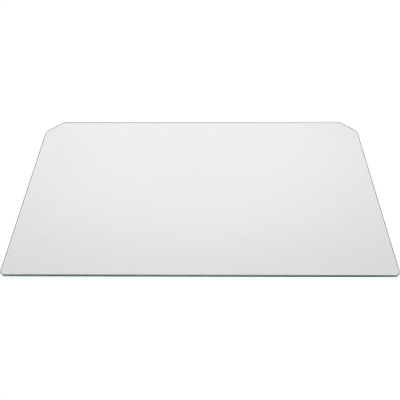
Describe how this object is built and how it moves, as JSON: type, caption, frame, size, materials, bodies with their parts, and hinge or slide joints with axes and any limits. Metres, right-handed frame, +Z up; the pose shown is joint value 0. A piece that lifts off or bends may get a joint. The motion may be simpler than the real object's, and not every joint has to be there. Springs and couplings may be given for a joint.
{
  "type": "refrigerator glass shelf",
  "caption": "Flat clear toughened-glass shelf pane for a refrigerator, with large 45 degree cuts at the rear corners, small cuts at the front corners and ground, arrissed edges.",
  "frame": {"origin": "middle of the underside, which is the face the pane rests on", "axes": "+X across the shelf to the right as seen from the front, +Y to the rear of the cabinet, +Z up"},
  "size_m": [0.475, 0.31, 0.004],
  "materials": {
    "clear_glass": "polished float faces, fine-ground edges with a green cast"
  },
  "bodies": {
    "root": {"glass_pane": "clear_glass"}
  },
  "joints": []
}
